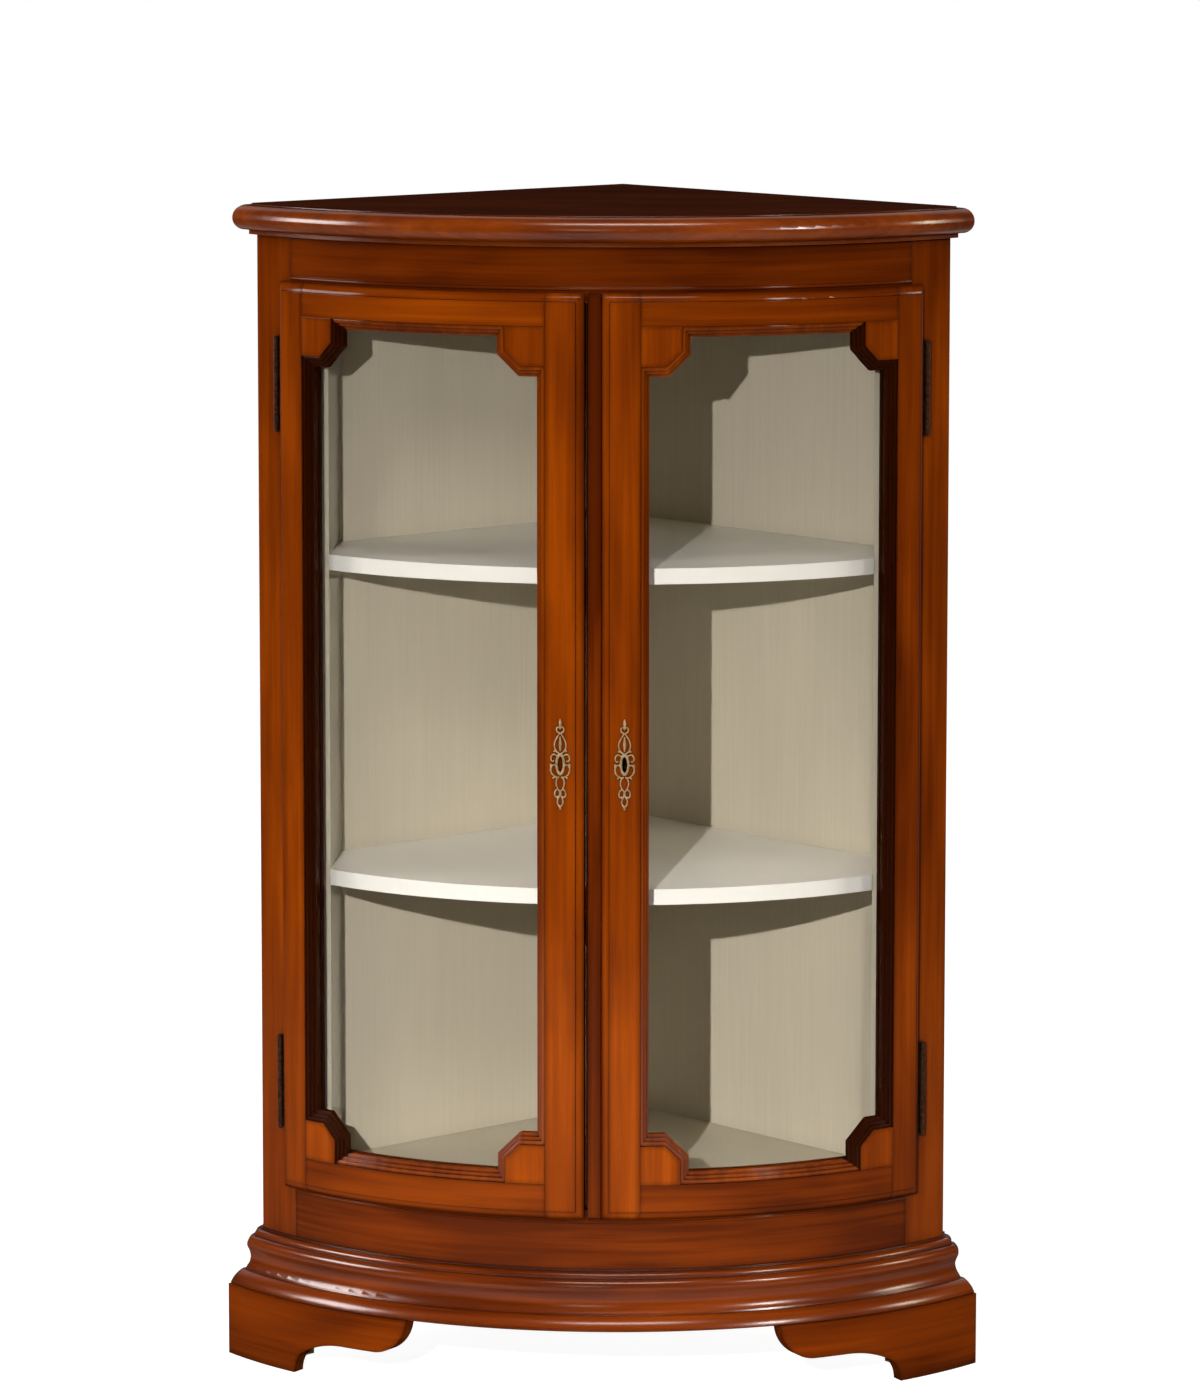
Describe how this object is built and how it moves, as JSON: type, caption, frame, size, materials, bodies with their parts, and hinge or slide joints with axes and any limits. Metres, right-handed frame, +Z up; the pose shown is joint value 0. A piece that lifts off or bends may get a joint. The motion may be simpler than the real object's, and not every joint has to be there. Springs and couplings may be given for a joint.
{
  "type": "corner curio cabinet",
  "caption": "Low corner display cabinet with a bowed front, two glazed lipped doors, fixed shelves, a moulded base and bracket feet.",
  "frame": {"origin": "on the floor, at the centre of the bottom of the bounding box", "axes": "+Z up, -Y out of the bowed front, +Y towards the room corner, +X to the right of a person who faces the front"},
  "size_m": [0.7792, 0.575, 1.2],
  "materials": {
    "cherry": "gloss lacquer over cherry stain",
    "secondary_wood": "plain sawn softwood",
    "painted_interior": "satin greige paint",
    "painted_shelf": "satin off-white paint",
    "glass": "clear float glass",
    "brass": "antiqued brass"
  },
  "bodies": {
    "case": {"base_moulding": "cherry", "bottom_rail": "cherry", "floor_board": "painted_interior", "foot_glue_blocks": "secondary_wood", "frieze_rail": "cherry", "left_back_panel": "painted_interior", "left_foot": "cherry", "left_front_stile": "cherry", "left_hinge_frame_leaves": "brass", "left_hinge_pins": "brass", "left_side_lining": "painted_interior", "left_stile_batten": "secondary_wood", "lower_shelf": "painted_shelf", "rear_corner_block": "secondary_wood", "rear_foot": "secondary_wood", "right_back_panel": "painted_interior", "right_foot": "cherry", "right_front_stile": "cherry", "right_hinge_frame_leaves": "brass", "right_hinge_pins": "brass", "right_side_lining": "painted_interior", "right_stile_batten": "secondary_wood", "sub_top": "painted_interior", "top_board": "cherry", "upper_bolt_keeper": "brass", "upper_shelf": "painted_shelf"},
    "left_door": {"left_bottom_rail": "cherry", "left_corner_blocks": "cherry", "left_escutcheon": "brass", "left_glass": "glass", "left_glazing_beads": "cherry", "left_glazing_moulding": "cherry", "left_hinge_door_leaves": "brass", "left_hinge_stile": "cherry", "left_meeting_stile": "cherry", "left_top_rail": "cherry", "lower_bolt_plate": "brass", "strike_plate": "brass", "upper_bolt_plate": "brass"},
    "right_door": {"lock_case": "brass", "meeting_bead": "cherry", "right_bottom_rail": "cherry", "right_corner_blocks": "cherry", "right_escutcheon": "brass", "right_glass": "glass", "right_glazing_beads": "cherry", "right_glazing_moulding": "cherry", "right_hinge_door_leaves": "brass", "right_hinge_stile": "cherry", "right_meeting_stile": "cherry", "right_top_rail": "cherry"},
    "lock_bolt": {"lock_bolt": "brass"},
    "upper_bolt": {"upper_bolt_rod": "brass"},
    "lower_bolt": {"lower_bolt_rod": "brass"}
  },
  "joints": [
    {"name": "left_door_hinge", "type": "hinge", "parent": "case", "child": "left_door", "pos_m": [-0.33251, -0.11798, 0.65], "axis": [0, 0, -1], "range_deg": [0, 110]},
    {"name": "right_door_hinge", "type": "hinge", "parent": "case", "child": "right_door", "pos_m": [0.33251, -0.11798, 0.65], "axis": [0, 0, 1], "range_deg": [0, 110]},
    {"name": "lock_bolt_slide", "type": "slide", "parent": "right_door", "child": "lock_bolt", "axis": [-1, 0, 0], "range_m": [0, 0.01]},
    {"name": "upper_bolt_slide", "type": "slide", "parent": "left_door", "child": "upper_bolt", "axis": [0, 0, 1], "range_m": [0, 0.01]},
    {"name": "lower_bolt_slide", "type": "slide", "parent": "left_door", "child": "lower_bolt", "axis": [0, 0, -1], "range_m": [0, 0.01]}
  ]
}
